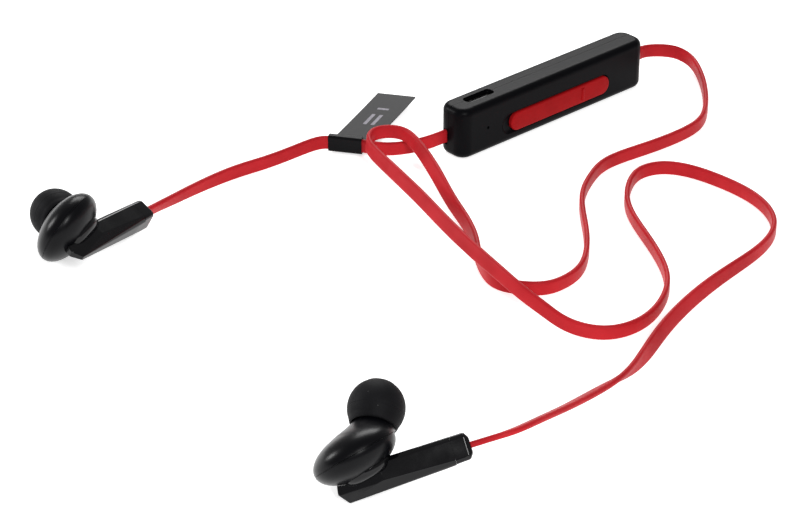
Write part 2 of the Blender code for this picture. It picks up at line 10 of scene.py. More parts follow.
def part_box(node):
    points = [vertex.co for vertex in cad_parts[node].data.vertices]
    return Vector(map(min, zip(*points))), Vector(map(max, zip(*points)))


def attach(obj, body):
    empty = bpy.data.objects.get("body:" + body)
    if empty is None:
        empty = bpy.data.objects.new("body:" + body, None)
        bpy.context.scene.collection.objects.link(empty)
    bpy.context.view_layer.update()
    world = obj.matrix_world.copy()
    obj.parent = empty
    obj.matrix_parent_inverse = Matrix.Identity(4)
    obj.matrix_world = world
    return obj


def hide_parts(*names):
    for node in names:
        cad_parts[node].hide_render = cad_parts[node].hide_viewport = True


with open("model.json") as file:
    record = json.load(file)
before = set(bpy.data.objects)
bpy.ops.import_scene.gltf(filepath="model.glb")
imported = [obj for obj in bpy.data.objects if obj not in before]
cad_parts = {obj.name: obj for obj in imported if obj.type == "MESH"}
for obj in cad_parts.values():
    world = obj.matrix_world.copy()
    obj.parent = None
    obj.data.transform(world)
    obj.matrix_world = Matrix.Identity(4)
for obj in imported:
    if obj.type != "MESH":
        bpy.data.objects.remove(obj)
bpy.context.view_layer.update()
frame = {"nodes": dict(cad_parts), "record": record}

# Camera ------------------------------------------------------------------------------
# A long portrait lens on a high tripod, so the set is seen from about 30 degrees above
# the table with hardly any perspective.
CAMERA_PLACE = Vector((-0.3773, -0.3731, 0.267))
CAMERA_HEADING = math.radians(-41.8)
CAMERA_FALL = math.radians(30.0)

lens = bpy.data.cameras.new("portrait_lens")
lens.sensor_width = 36.0
lens.lens = 117.0
lens.clip_start = 0.05
lens.clip_end = 20.0
camera = bpy.data.objects.new("camera", lens)
bpy.context.scene.collection.objects.link(camera)
camera.location = CAMERA_PLACE
looking = Vector((-math.sin(CAMERA_HEADING) * math.cos(CAMERA_FALL),
                  math.cos(CAMERA_HEADING) * math.cos(CAMERA_FALL), -math.sin(CAMERA_FALL)))
camera.rotation_euler = looking.to_track_quat("-Z", "Y").to_euler()
bpy.context.scene.camera = camera


# Flat red cords ----------------------------------------------------------------------
# Two ribbons of thermoplastic elastomer extruded over tinsel wire. They stand on edge on
# the table and lean over where they leave the earpieces and in the loop, where the long
# one folds back across itself and the short one.
MM = 0.001
CORD_WIDTH = 3.2 * MM
CORD_THICKNESS = 1.15 * MM
RING_SPACING = 0.8 * MM             # between the ribbon's cross-sections
CURVE_SAMPLES = 6000                # points read from each spline to measure along it
# x, y, z in millimetres, then how far the ribbon leans from standing on edge, in degrees.
SHORT_ROUTE = [
    (-101.3, 18.8, 3.5, 28), (-98.2, 19.5, 3.1, 28), (-95.1, 20.3, 2.8, 28), (-88.5, 21.8, 2.2, 20),
    (-80.6, 23.1, 1.8, 10), (-70.7, 23.5, 1.6, 0), (-62.8, 22.6, 1.6, 0), (-55.4, 22.0, 1.8, 0),
    (-50.4, 21.4, 2.1, 0), (-48.0, 20.3, 2.25, 0), (-46.3, 18.4, 2.25, 0), (-45.0, 16.6, 2.25, 0),
    (-43.6, 14.6, 2.25, 0), (-42.0, 12.3, 2.1, 0), (-39.7, 9.3, 2.0, 0), (-36.7, 6.2, 2.5, 0),
    (-33.8, 3.6, 3.4, 0), (-31.8, 2.2, 4.1, 0), (-30.0, 1.7, 4.4, 0), (-28.0, 1.6, 4.4, 0),
]
LONG_ROUTE = [
    (28.0, 1.6, 4.4, 0), (30.6, 1.6, 4.4, 0), (35.0, 2.7, 4.3, 0), (39.4, 1.0, 4.0, 0),
    (42.5, -1.5, 3.3, 0), (43.1, -5.4, 2.5, 0), (39.9, -11.5, 1.9, 0), (34.6, -17.9, 1.6, 0),
    (25.7, -25.8, 1.6, 0), (18.5, -28.7, 1.6, 0), (5.1, -28.5, 1.6, 0), (-7.4, -27.5, 1.6, 0),
    (-15.1, -30.1, 1.6, 0), (-23.3, -35.5, 1.6, 0), (-32.6, -45.8, 1.6, 0), (-40.1, -53.2, 1.6, 0),
    (-46.0, -56.8, 1.6, 0), (-51.2, -57.7, 1.6, 0), (-55.1, -57.0, 1.6, 0), (-58.1, -54.7, 1.6, 0),
    (-60.2, -51.6, 1.6, 0), (-61.1, -47.9, 1.6, 0), (-59.4, -42.9, 1.6, 2), (-56.2, -38.0, 1.6, 8),
    (-52.6, -33.1, 1.6, 14), (-48.8, -26.3, 1.7, 22), (-45.8, -18.9, 2.4, 28), (-42.9, -11.8, 3.8, 32),
    (-39.8, -4.2, 5.0, 30), (-37.8, 1.7, 5.7, 18), (-37.1, 5.9, 6.0, 6), (-38.5, 9.3, 5.9, 0),
    (-41.8, 10.7, 5.8, 0), (-45.1, 8.8, 5.5, -8), (-46.9, 4.6, 5.1, -20), (-48.5, -1.5, 4.9, -26),
    (-50.6, -8.5, 5.1, -30), (-52.7, -15.7, 5.2, -32), (-54.9, -22.8, 5.2, -32), (-57.6, -31.6, 5.2, -30),
    (-60.4, -42.0, 5.2, -26), (-62.3, -50.8, 5.0, -20), (-63.2, -58.5, 4.1, -14), (-63.1, -65.0, 2.9, -8),
    (-62.4, -70.5, 1.9, -3), (-58.8, -76.9, 1.6, 0), (-50.8, -79.1, 1.6, 0), (-40.8, -75.7, 1.6, 0),
    (-33.0, -68.9, 1.6, 0), (-25.4, -56.3, 1.6, 0), (-18.2, -44.1, 1.6, 0), (-9.9, -37.1, 1.6, 0),
    (-4.7, -35.5, 1.6, 0), (0.0, -37.1, 1.6, 0), (3.2, -42.0, 1.6, 0), (4.7, -50.2, 1.6, 0),
    (4.1, -60.5, 1.6, 0), (-0.8, -69.7, 1.6, 0), (-9.7, -74.8, 1.6, 0), (-22.2, -77.0, 1.6, 10),
    (-35.2, -79.4, 1.7, 25), (-48.5, -83.5, 1.8, 30), (-57.6, -87.3, 1.8, 24), (-64.8, -90.1, 2.2, -10),
    (-70.9, -91.7, 2.9, -45), (-76.9, -93.0, 3.8, -60), (-88.4, -95.9, 6.4, -60), (-98.5, -98.5, 9.2, -58),
    (-105.9, -99.3, 10.4, -55), (-109.6, -97.2, 9.4, -55), (-112.3, -95.5, 8.6, -55),
    (-114.9, -93.8, 7.8, -55),
]


def linear(code):
    """An sRGB hex colour as linear red, green and blue with full alpha."""
    parts = [int(code[i:i + 2], 16) / 255 for i in (1, 3, 5)]
    return (*[v / 12.92 if v <= 0.04045 else ((v + 0.055) / 1.055) ** 2.4 for v in parts], 1.0)


def add_node(tree, kind, settings=None, links=None):
    """Add a node, set its properties and unlinked sockets, and feed its linked ones."""
    made = tree.nodes.new(kind)
    for key, value in (settings or {}).items():
        if isinstance(key, str) and hasattr(made, key):
            setattr(made, key, value)
        else:
            made.inputs[key].default_value = value
    for key, source in (links or {}).items():
        tree.links.new(source, made.inputs[key])
    return made


def new_finish(name, **constants):
    """A material, its Principled shader with some even values, and object coordinates."""
    made = bpy.data.materials.new(name)
    made.use_nodes = True
    tree = made.node_tree
    tree.nodes.clear()
    shader = add_node(tree, "ShaderNodeBsdfPrincipled")
    for key, value in constants.items():
        shader.inputs[key.replace("_", " ")].default_value = value
    add_node(tree, "ShaderNodeOutputMaterial", links={"Surface": shader.outputs["BSDF"]})
    return made, tree, shader, add_node(tree, "ShaderNodeTexCoord").outputs["Object"]


def per_mm(size):
    """The pattern scale that makes one feature this many millimetres across."""
    return 1.0 / (size * MM)


def two_shades(tree, target, pattern, dark, light, low=0.0, high=1.0):
    """Feed a colour socket two close shades that follow a pattern."""
    tint = add_node(tree, "ShaderNodeValToRGB", links={"Fac": pattern})
    for element, code, position in zip(tint.color_ramp.elements, (dark, light), (low, high)):
        element.color = linear(code)
        element.position = position
    tree.links.new(tint.outputs["Color"], target)


def uneven_skin(tree, shader, pattern, smoothest, roughest, strength, depth):
    """Roughness and a shallow bump, its depth in millimetres, that follow a pattern."""
    gloss = add_node(tree, "ShaderNodeMapRange", {"To Min": smoothest, "To Max": roughest},
                     {"Value": pattern})
    tree.links.new(gloss.outputs["Result"], shader.inputs["Roughness"])
    bump = add_node(tree, "ShaderNodeBump", {"Strength": strength, "Distance": depth * MM},
                    {"Height": pattern})
    tree.links.new(bump.outputs["Normal"], shader.inputs["Normal"])


def skin(name, shades, stops, drift, grain, gloss, relief, **constants):
    """A moulded, extruded or coated skin: colour that drifts, and a grain in its gloss.

    drift and grain are each a size in millimetres and a level of detail, gloss is the
    least and most roughness, and relief is the bump's strength and depth in millimetres.
    """
    made, tree, shader, place = new_finish(name, **constants)
    cloud, pores = [add_node(tree, "ShaderNodeTexNoise", {"Scale": per_mm(size), "Detail": detail},
                             {"Vector": place}) for size, detail in (drift, grain)]
    two_shades(tree, shader.inputs["Base Color"], cloud.outputs["Fac"], *shades, *stops)
    uneven_skin(tree, shader, pores.outputs["Fac"], *gloss, *relief)
    return made


def smooth_route(route, count):
    """Evenly spaced points and leans on a natural cubic spline, and its length."""
    knots = np.array(route, dtype=float)
    chord = np.linalg.norm(np.diff(knots[:, :3], axis=0), axis=1) ** 0.5
    at = np.concatenate(([0.0], np.cumsum(chord)))
    n = len(at)
    step = np.diff(at)
    matrix = np.eye(n)
    right = np.zeros((n, 4))
    for i in range(1, n - 1):
        matrix[i, i - 1:i + 2] = (step[i - 1], 2 * (step[i - 1] + step[i]), step[i])
        right[i] = 6 * ((knots[i + 1] - knots[i]) / step[i] - (knots[i] - knots[i - 1]) / step[i - 1])
    bend = np.linalg.solve(matrix, right)
    fine = np.linspace(0.0, at[-1], CURVE_SAMPLES)
    i = np.clip(np.searchsorted(at, fine, side="right") - 1, 0, n - 2)
    before = (at[i + 1] - fine)[:, None]
    after = (fine - at[i])[:, None]
    width = step[i][:, None]
    curve = ((bend[i] * before ** 3 + bend[i + 1] * after ** 3) / (6 * width)
             + (knots[i] / width - bend[i] * width / 6) * before
             + (knots[i + 1] / width - bend[i + 1] * width / 6) * after)
    gone = np.concatenate(([0.0], np.cumsum(np.linalg.norm(np.diff(curve[:, :3], axis=0), axis=1))))
    picks = np.interp(np.linspace(0.0, gone[-1], count), gone, np.arange(len(curve)))
    return [curve[int(round(k))] for k in picks], gone[-1] * MM


def lay_ribbon(name, route, finish):
    """A flat ribbon on edge along its route; also gives its real length."""
    length = smooth_route(route, 2)[1]
    rings, length = smooth_route(route, int(length / RING_SPACING))
    data = bpy.data.curves.new(name, "CURVE")
    data.dimensions = "3D"
    data.fill_mode = "FULL"
    data.use_fill_caps = True
    data.twist_mode = "Z_UP"
    data.extrude = (CORD_WIDTH - CORD_THICKNESS) / 2
    data.bevel_depth = CORD_THICKNESS / 2
    data.bevel_resolution = 4
    spline = data.splines.new("POLY")
    spline.points.add(len(rings) - 1)
    for point, (x, y, z, lean) in zip(spline.points, rings):
        point.co = (x * MM, y * MM, z * MM, 1.0)
        point.tilt = math.radians(lean)
    spline.use_smooth = True
    data.materials.append(finish)
    made = bpy.data.objects.new(name, data)
    bpy.context.scene.collection.objects.link(made)
    return made, length


# Red elastomer from an extrusion die: a satin skin, cloudy pigment and a fine grain.
cord_finish = skin("extruded_red_tpe", ("#A61A21", "#B8242B"), (0.3, 0.7), (9, 2.0), (0.5, 3.0),
                   (0.34, 0.5), (0.1, 0.05), IOR=1.5, Specular_IOR_Level=0.07)
for cord_name, node, route in (("short_cord", "left_cord", SHORT_ROUTE),
                               ("long_cord", "right_cord", LONG_ROUTE)):
    ribbon, real_length = lay_ribbon(cord_name, route, cord_finish)
    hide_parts(node)
    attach(ribbon, "earphones")

# Control box shells ------------------------------------------------------------------
# Two injection-moulded ABS halves with a spark-eroded satin skin, clipped together along
# a fine seam. The front half carries the key's window in a scooped recess and a pinhole
# for the microphone; the charging slot crosses the seam and each cord has its own hole.
shell_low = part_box("control_front_shell")[0]
shell_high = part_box("control_rear_shell")[1]
seam_y = (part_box("control_front_shell")[1].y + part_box("control_rear_shell")[0].y) / 2
CORNER_ROUNDING = 3.0 * MM          # the four upright corners
EDGE_ROUNDING = 1.6 * MM            # round the top and the bottom
SHELL_WALL = 1.0 * MM
SEAM_WIDTH = 0.06 * MM
SEAM_DEPTH = 0.12 * MM
HALF_GAP = 0.01 * MM                # from the seam's middle to each half
CUTTER_ROUNDING = 0.005 * MM        # on the blocks that only cut, so that their edges stay crisp
KEY_GAP = 0.12 * MM
KEY_INSET = Vector((1.15, 0.0, 0.3)) * MM     # the key's red face is drawn this much smaller
DIMPLE = 2.3 * MM                   # how far the scoop runs on past the key's left end
SCOOP_GROWTH = 0.3 * MM             # how much longer and taller the scoop is than the window
# Depth from the front face, then how far the scoop's outline draws in, in millimetres.
SCOOP_LEVELS = [(-0.3, -0.2), (0.0, -0.05), (0.1, 0.05), (0.3, 0.3), (0.46, 0.7), (0.54, 1.2)]
PINHOLE_SIZE = (0.62 * MM, 0.6 * MM)
PINHOLE_LEVELS = [(-0.1, -0.12), (0.1, 0.0), (2.0, 0.0)]
CORD_HOLE_SLACK = 0.25 * MM
SLOT_ROOM = Vector((0.3, 0.3, 0.0)) * MM


def moulded_abs(name, reflecting, smoothest, roughest):
    """Black ABS from a textured mould: a fine even grain that spreads highlights."""
    made, tree, shader, place = new_finish(name, IOR=1.54, Specular_IOR_Level=reflecting)
    batch = add_node(tree, "ShaderNodeTexNoise", {"Scale": per_mm(14), "Detail": 2.0}, {"Vector": place})
    two_shades(tree, shader.inputs["Base Color"], batch.outputs["Fac"], "#050507", "#08080B")
    # The real grain is about 0.05 mm; it is drawn at 0.3 mm so that it shows.
    grain = add_node(tree, "ShaderNodeTexNoise", {"Scale": per_mm(0.3), "Detail": 4.0, "Roughness": 0.6},
                     {"Vector": place})
    uneven_skin(tree, shader, grain.outputs["Fac"], smoothest, roughest, 0.12, 0.02)
    return made


def put_in(name, cage):
    """A bmesh as a new object in the scene."""
    mesh = bpy.data.meshes.new(name)
    cage.to_mesh(mesh)
    cage.free()
    made = bpy.data.objects.new(name, mesh)
    bpy.context.scene.collection.objects.link(made)
    return made


def rounded_block(name, low, high, rounding, segments=8, axis=None, upright=None):
    """A block with rounded edges, or only those along one axis; upright ones can be rounder."""
    low, high = Vector(low), Vector(high)
    cage = bmesh.new()
    grow = Matrix.Translation((low + high) / 2) @ Matrix.Diagonal((*(high - low), 1.0))
    bmesh.ops.create_cube(cage, size=1.0, matrix=grow)
    if upright:
        posts = [edge for edge in cage.edges
                 if abs((edge.verts[0].co - edge.verts[1].co).normalized().z) > 0.9]
        bmesh.ops.bevel(cage, geom=posts, offset=upright, segments=segments, profile=0.5,
                        affect="EDGES")
        edges = [edge for edge in cage.edges
                 if abs(edge.verts[0].co.z - edge.verts[1].co.z) < 0.001 * MM]
    else:
        edges = [edge for edge in cage.edges if axis is None or abs(
            (edge.verts[0].co - edge.verts[1].co).normalized()[axis]) > 0.9]
    bmesh.ops.bevel(cage, geom=edges, offset=rounding, segments=segments, profile=0.5,
                    affect="EDGES")
    return put_in(name, cage)


def pill(name, centre, length, height, levels, steps=28):
    """Pill outlines stacked along Y into one solid; a level is (y, how far it draws in)."""
    cage = bmesh.new()
    straight = (length - height) / 2
    rings = []
    for y, inset in levels:
        radius = height / 2 - inset
        ring = []
        for side in (1, -1):
            for i in range(steps + 1):
                angle = math.pi * (i / steps - 0.5) + (0 if side > 0 else math.pi)
                ring.append(cage.verts.new((centre[0] + side * straight + radius * math.cos(angle),
                                            y, centre[1] + radius * math.sin(angle))))
        rings.append(ring)
    for inner, outer in zip(rings, rings[1:]):
        for i in range(len(inner)):
            j = (i + 1) % len(inner)
            cage.faces.new((inner[i], inner[j], outer[j], outer[i]))
    cage.faces.new(rings[0])
    cage.faces.new(rings[-1])
    bmesh.ops.recalc_face_normals(cage, faces=cage.faces)
    return put_in(name, cage)


def shape(target, tool, operation="DIFFERENCE"):
    """Cut a tool from the target, or join it on, and throw the tool away."""
    step = target.modifiers.new("shape", "BOOLEAN")
    step.operation = operation
    step.object = tool
    step.solver = "EXACT"
    flatten(target)
    bpy.data.objects.remove(tool, do_unlink=True)


def flatten(target):
    """Turn a piece's modifiers into a plain mesh."""
    bpy.context.view_layer.update()
    graph = bpy.context.evaluated_depsgraph_get()
    result = bpy.data.meshes.new_from_object(target.evaluated_get(graph))
    target.modifiers.clear()
    target.data = result


def complete(piece, finish, body, slot_name, *nodes, crease=32):
    """Smooth shading with crisp creases, the finish, and the piece's place in the frame."""
    mesh = piece.data
    mesh.shade_smooth()
    mesh.set_sharp_from_angle(angle=math.radians(crease))
    even = piece.modifiers.new("even_normals", "WEIGHTED_NORMAL")
    even.keep_sharp = True
    flatten(piece)
    piece.data.materials.clear()
    piece.data.materials.append(finish)
    if nodes:
        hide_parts(*nodes)
    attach(piece, body)
    return piece


key_low, key_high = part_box("rocker_button")
key_low += KEY_INSET
key_high -= KEY_INSET
window_centre = ((key_low.x + key_high.x) / 2, (key_low.z + key_high.z) / 2)
window_length = key_high.x - key_low.x + 2 * KEY_GAP
window_height = key_high.z - key_low.z + 2 * KEY_GAP
socket_low, socket_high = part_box("usb_socket")
microphone_low, microphone_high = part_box("microphone")
abs_finish = moulded_abs("spark_eroded_black_abs", 0.045, 0.3, 0.42)
for shell_name, node, near_y, far_y in (
        ("front_shell", "control_front_shell", shell_low.y - MM, seam_y - HALF_GAP),
        ("rear_shell", "control_rear_shell", seam_y + HALF_GAP, shell_high.y + MM)):
    shell = rounded_block(shell_name, shell_low, shell_high, EDGE_ROUNDING, 10, None, CORNER_ROUNDING)
    wall = Vector((SHELL_WALL,) * 3)
    shape(shell, rounded_block("cavity", shell_low + wall, shell_high - wall, EDGE_ROUNDING - SHELL_WALL,
                               4, None, CORNER_ROUNDING - SHELL_WALL))
    keep = rounded_block("keep", (shell_low.x - MM, near_y, shell_low.z - MM),
                         (shell_high.x + MM, far_y, shell_high.z + MM), CUTTER_ROUNDING, segments=1)
    shape(shell, keep, "INTERSECT")
    groove = rounded_block("groove", (shell_low.x - MM, seam_y - SEAM_WIDTH / 2, shell_low.z - MM),
                           (shell_high.x + MM, seam_y + SEAM_WIDTH / 2, shell_high.z + MM),
                           CUTTER_ROUNDING, segments=1)
    core = Vector((SEAM_DEPTH,) * 3)
    shape(groove, rounded_block("core", shell_low + core, shell_high - core, EDGE_ROUNDING - SEAM_DEPTH,
                                10, None, CORNER_ROUNDING - SEAM_DEPTH))
    shape(shell, groove)
    if node == "control_front_shell":
        scoop_y = shell_low.y
        scoop = pill("scoop", (window_centre[0] - DIMPLE / 2, window_centre[1]),
                     window_length + DIMPLE + SCOOP_GROWTH, window_height + SCOOP_GROWTH,
                     [(scoop_y + deep * MM, inset * MM) for deep, inset in SCOOP_LEVELS])
        shape(shell, scoop)
        shape(shell, pill("window", window_centre, window_length, window_height,
                          [(scoop_y - MM, 0.0), (scoop_y + 2 * MM, 0.0)]))
        pinhole = pill("pinhole", ((microphone_low.x + microphone_high.x) / 2,
                                   (microphone_low.z + microphone_high.z) / 2),
                       *PINHOLE_SIZE, [(scoop_y + deep * MM, inset * MM) for deep, inset in PINHOLE_LEVELS],
                       steps=12)
        shape(shell, pinhole)
    else:
        for cord_node, outward in (("left_cord_anchor", -1), ("right_cord_anchor", 1)):
            low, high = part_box(cord_node)
            middle = (low + high) / 2
            end_x = shell_low.x if outward < 0 else shell_high.x
            half = Vector((2 * MM, CORD_THICKNESS / 2 + CORD_HOLE_SLACK, CORD_WIDTH / 2 + CORD_HOLE_SLACK))
            at = Vector((end_x, middle.y, middle.z))
            shape(shell, rounded_block("cord_hole", at - half, at + half, 0.35 * MM, 4, axis=0))
    shape(shell, rounded_block("slot", socket_low - SLOT_ROOM + Vector((0, 0, 4 * MM)),
                               socket_high + SLOT_ROOM + Vector((0, 0, 2 * MM)), 1.0 * MM, 8, axis=2))
    complete(shell, abs_finish, "earphones", "satin_black_abs", node)

# Rocking key -------------------------------------------------------------------------
# One red polycarbonate pill with a soft-touch coat. Its edge is rolled over, its face is
# slightly crowned, and a low ridge near the right end marks one side for the thumb.
KEY_THICKNESS = 1.05 * MM
BACK_EASE = 0.12 * MM               # the small slope round the key's hidden back edge
EDGE_ROLL = 0.36 * MM
CROWN = 0.1 * MM
CROWN_REACH = 1.5 * MM
RIDGE_PLACE = 0.22                  # from the middle to the ridge, as a share of the key's length
RIDGE_REACH = 0.33                  # half the ridge's height, as a share of the key's height
RIDGE_HALF_WIDTH = 0.36 * MM
RIDGE_RISE = 0.34 * MM
RIDGE_ROOT = 0.3 * MM
RIDGE_ROUNDING = 0.2 * MM

key_back = key_high.y
key_face = key_back - KEY_THICKNESS
roll = [(key_face + EDGE_ROLL * (1 - math.sin(a)), EDGE_ROLL * (1 - math.cos(a)))
        for a in [math.radians(d) for d in range(0, 91, 15)]]
crown = [(key_face - CROWN * t * (2 - t), EDGE_ROLL + CROWN_REACH * t) for t in (0.3, 0.6, 1.0)]
key = pill("rocking_key", window_centre, key_high.x - key_low.x, key_high.z - key_low.z,
           [(key_back, BACK_EASE), (key_back - BACK_EASE, 0.0)] + roll + crown)
ridge_x = window_centre[0] + RIDGE_PLACE * (key_high.x - key_low.x)
ridge_reach = RIDGE_REACH * (key_high.z - key_low.z)
ridge_low = (ridge_x - RIDGE_HALF_WIDTH, key_face - RIDGE_RISE, window_centre[1] - ridge_reach)
ridge_high = (ridge_x + RIDGE_HALF_WIDTH, key_face + RIDGE_ROOT, window_centre[1] + ridge_reach)
shape(key, rounded_block("ridge", ridge_low, ridge_high, RIDGE_ROUNDING, 4), "UNION")
# Soft-touch lacquer on red plastic: velvety, with a broad dull highlight.
coated_red = skin("soft_touch_red_polycarbonate", ("#900E12", "#A01216"), (0.3, 0.75), (6, 3.0),
                  (0.25, 2.0), (0.42, 0.56), (0.08, 0.02), IOR=1.5, Specular_IOR_Level=0.05)
complete(key, coated_red, "key", "red_key_plastic", "rocker_button")

# Charging socket ---------------------------------------------------------------------
# A drawn steel sleeve with rounded corners, and a black tongue with five gold contacts
# side by side. It stands just inside the slot, so only its lip and tongue catch light.
CONTACTS = 5
CONTACT_PITCH = 0.95 * MM
CONTACT_SIZE = (0.45 * MM, 0.05 * MM, 3.2 * MM)
CONTACT_FACE = 0.235 * MM           # from the socket's middle to the contacts
CONTACT_DEPTH = 1.9 * MM            # from the tongue's end to the contacts' middle
SLEEVE_SETBACK = Vector((0, 0, 0.8 * MM))
SLEEVE_ROUNDING = 0.85 * MM
MOUTH_LOW = Vector((0.25, 0.25, 0.3)) * MM        # the sleeve's wall and floor
MOUTH_HIGH = Vector((-0.25, -0.25, 1.0)) * MM
MOUTH_ROUNDING = 0.62 * MM


def drawn_steel():
    """Nickel-plated steel sheet: fine marks along the drawing direction, Z."""
    made, tree, shader, place = new_finish("nickel_plated_steel", Metallic=1.0)
    drawn = add_node(tree, "ShaderNodeMapping", {"Scale": (1.0, 1.0, 0.05)}, {"Vector": place})
    marks = add_node(tree, "ShaderNodeTexNoise", {"Scale": per_mm(0.2), "Detail": 3.0},
                     {"Vector": drawn.outputs["Vector"]})
    two_shades(tree, shader.inputs["Base Color"], marks.outputs["Fac"], "#A9A8A6", "#C9C8C5")
    gloss = add_node(tree, "ShaderNodeMapRange", {"To Min": 0.2, "To Max": 0.38},
                     {"Value": marks.outputs["Fac"]})
    tree.links.new(gloss.outputs["Result"], shader.inputs["Roughness"])
    return made


def gold_flash():
    """A thin gold plating over nickel: warm, polished, a little uneven."""
    made, tree, shader, place = new_finish("gold_flash", Metallic=1.0)
    thin = add_node(tree, "ShaderNodeTexNoise", {"Scale": per_mm(0.6)}, {"Vector": place})
    two_shades(tree, shader.inputs["Base Color"], thin.outputs["Fac"], "#C79A4B", "#E2BD74")
    shader.inputs["Roughness"].default_value = 0.25
    return made


steel_finish = drawn_steel()
sleeve = rounded_block("socket_sleeve", socket_low, socket_high - SLEEVE_SETBACK, SLEEVE_ROUNDING, 8, axis=2)
shape(sleeve, rounded_block("sleeve_mouth", socket_low + MOUTH_LOW, socket_high + MOUTH_HIGH,
                            MOUTH_ROUNDING, 8, axis=2))
complete(sleeve, steel_finish, "earphones", "nickel_steel", "usb_socket")

tongue_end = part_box("usb_tongue")[1].z
socket_middle = (socket_low + socket_high) / 2
contacts = bpy.data.objects.new("socket_contacts", bpy.data.meshes.new("socket_contacts"))
bpy.context.scene.collection.objects.link(contacts)
row = bpy.data.node_groups.new("row_of_contacts", "GeometryNodeTree")
row.is_modifier = True
for socket_name, kind in (("Count", "NodeSocketInt"), ("Pitch", "NodeSocketFloat"),
                          ("Start", "NodeSocketVector"), ("Size", "NodeSocketVector"),
                          ("Finish", "NodeSocketMaterial")):
    row.interface.new_socket(socket_name, in_out="INPUT", socket_type=kind)
row.interface.new_socket("Geometry", in_out="OUTPUT", socket_type="NodeSocketGeometry")
given = add_node(row, "NodeGroupInput")
apart = add_node(row, "ShaderNodeCombineXYZ", links={"X": given.outputs["Pitch"]})
line = add_node(row, "GeometryNodeMeshLine", links={"Count": given.outputs["Count"],
                                                    "Start Location": given.outputs["Start"],
                                                    "Offset": apart.outputs["Vector"]})
strip = add_node(row, "GeometryNodeMeshCube", links={"Size": given.outputs["Size"]})
placed = add_node(row, "GeometryNodeInstanceOnPoints", links={"Points": line.outputs["Mesh"],
                                                              "Instance": strip.outputs["Mesh"]})
real = add_node(row, "GeometryNodeRealizeInstances", links={"Geometry": placed.outputs["Instances"]})
coated = add_node(row, "GeometryNodeSetMaterial", links={"Geometry": real.outputs["Geometry"],
                                                         "Material": given.outputs["Finish"]})
add_node(row, "NodeGroupOutput", links={"Geometry": coated.outputs["Geometry"]})
gold_finish = gold_flash()
values = {"Count": CONTACTS, "Pitch": CONTACT_PITCH,
          "Start": (socket_middle.x - CONTACT_PITCH * (CONTACTS - 1) / 2,
                    socket_middle.y - CONTACT_FACE, tongue_end - CONTACT_DEPTH),
          "Size": CONTACT_SIZE, "Finish": gold_finish}
maker = contacts.modifiers.new("row", "NODES")
maker.node_group = row
for item in row.interface.items_tree:
    if item.in_out == "INPUT":
        maker[item.identifier] = values[item.name]
flatten(contacts)
complete(contacts, gold_finish, "earphones", "nickel_steel")

# Inside the box and the bulbs --------------------------------------------------------
# Electronics, key springs, cord grips and drivers keep their working shapes. Each takes
# the finish of its own trade: solder mask, pouch foil, epoxy, calendered rubber and film.


def woven_gauze():
    """Stainless gauze in the nozzles: 0.1 mm wires at a 0.3 mm pitch, with painted shade, near black, in the
    holes between them.
    """
    made, tree, shader, place = new_finish("woven_steel_gauze", Metallic=1.0, Roughness=0.35)
    warp, weft = [add_node(tree, "ShaderNodeTexWave", {"bands_direction": way,
                                                       "Scale": per_mm(0.3) * math.pi / 10},
                           {"Vector": place}) for way in ("X", "Y")]
    wires = add_node(tree, "ShaderNodeMath", {"operation": "MAXIMUM"},
                     {0: warp.outputs["Fac"], 1: weft.outputs["Fac"]})
    # The dark shade fills the open holes between the wires: painted shade for the dark nozzle behind the
    # mesh.
    two_shades(tree, shader.inputs["Base Color"], wires.outputs["Value"], "#0B0B0D", "#8E8D8A", 0.5, 0.85)
    bump = add_node(tree, "ShaderNodeBump", {"Strength": 0.5, "Distance": 0.05 * MM},
                    {"Height": wires.outputs["Value"]})
    tree.links.new(bump.outputs["Normal"], shader.inputs["Normal"])
    return made


inner_finishes = {"nickel_steel": steel_finish}
# Slot, finish, its two shades, the size of its patches in millimetres, roughness, the rest.
for slot_key, finish_name, shades, size, roughness, constants in (
        ("green_solder_mask", "green_solder_mask", ("#12452A", "#195C38"), 1.2, 0.35, {"IOR": 1.5}),
        ("battery_foil", "pouch_foil", ("#A7A9AC", "#C3C5C8"), 1.5, 0.3, {"Metallic": 1.0}),
        ("dark_inner_plastic", "black_epoxy", ("#151517", "#202023"), 0.8, 0.5, {"IOR": 1.55}),
        ("grey_key_rubber", "calendered_grey_rubber", ("#262628", "#323235"), 0.7, 0.75, {"IOR": 1.5}),
        ("diaphragm_film", "polyester_cone_film", ("#A79E88", "#C4BBA6"), 0.6, 0.3, {"IOR": 1.57})):
    inner_finishes[slot_key] = skin(finish_name, shades, (0.35, 0.65), (size, 3.0), (size, 3.0),
                                    (roughness - 0.06, roughness + 0.06), (0.1, 0.03), **constants)
for entry in frame["record"]["subparts"]:
    if entry["material_slot"] in inner_finishes:
        for material_slot in frame["nodes"][entry["node"]].material_slots:
            material_slot.material = inner_finishes[entry["material_slot"]]
gauze = woven_gauze()
for side in ("left", "right"):
    for material_slot in frame["nodes"][side + "_nozzle_screen"].material_slots:
        material_slot.material = gauze

# Earpiece housings -------------------------------------------------------------------
# Each bulb is two satin ABS shells glued at a fine seam round the equator. The front one
# swells into a shoulder and a hollow nozzle; the rear one has a lip that fits inside it.
BULB_RADIUS = 8.1
BULB_HALF_HEIGHT = 4.37
BULB_LEAN = math.radians(12.7)
NOZZLE_AXIS = Vector((0.41, 0.43, 0.80)).normalized()
TIP_CENTRE = Vector((6.1, 5.2, 6.8))
NOZZLE_RADIUS = 2.3
NOZZLE_REACH = 2.1                  # how far the nozzle's mouth is past the tip's middle
BULB_WALL = 0.6
SEAM_HALF = 0.02
